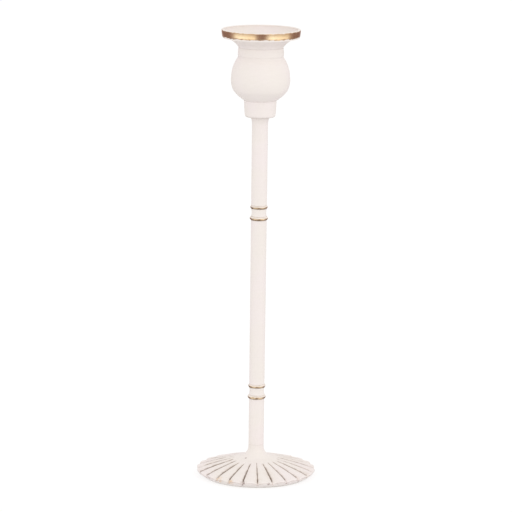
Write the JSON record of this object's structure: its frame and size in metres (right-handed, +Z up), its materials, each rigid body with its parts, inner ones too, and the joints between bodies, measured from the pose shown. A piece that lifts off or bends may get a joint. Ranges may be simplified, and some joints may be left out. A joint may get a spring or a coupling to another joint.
{
  "type": "candlestick",
  "caption": "Turned and painted candlestick with a fluted round base, slim stem with gilded bead knots, bulb cup and a lift-off gold-rimmed drip dish for a taper candle.",
  "frame": {"origin": "centre of the felt pad's underside, on the table", "axes": "+Z up along the turning axis; a flute of the base lies on +X and on every 15 degrees from it"},
  "size_m": [0.0998, 0.0998, 0.38],
  "materials": {
    "painted_wood": "off-white chalk paint with brown patina in the grooves",
    "aged_gold": "aged gilding, satin",
    "brass_liner": "dull spun brass",
    "hardware_steel": "zinc plated",
    "ballast_steel": "dark oiled plate",
    "felt": "pressed wool felt"
  },
  "bodies": {
    "stand": {"felt_pad": "felt", "fluted_base": "painted_wood", "ballast_disc": "ballast_steel", "ballast_screws": "hardware_steel", "base_washer": "hardware_steel", "base_nut": "hardware_steel", "tie_rod": "hardware_steel", "lower_stem": "painted_wood", "lower_bead_bottom": "aged_gold", "lower_spacer": "painted_wood", "lower_bead_top": "aged_gold", "middle_stem": "painted_wood", "upper_bead_bottom": "aged_gold", "upper_spacer": "painted_wood", "upper_bead_top": "aged_gold", "upper_stem": "painted_wood", "cup_collar": "painted_wood", "bulb_cup": "painted_wood", "cup_washer": "hardware_steel", "cup_nut": "hardware_steel"},
    "nozzle": {"drip_dish": "painted_wood", "dish_rim_band": "aged_gold", "candle_socket": "brass_liner"}
  },
  "joints": [
    {"name": "nozzle_lift", "type": "slide", "parent": "stand", "child": "nozzle", "axis": [0, 0, 1], "range_m": [0, 0.03]}
  ]
}
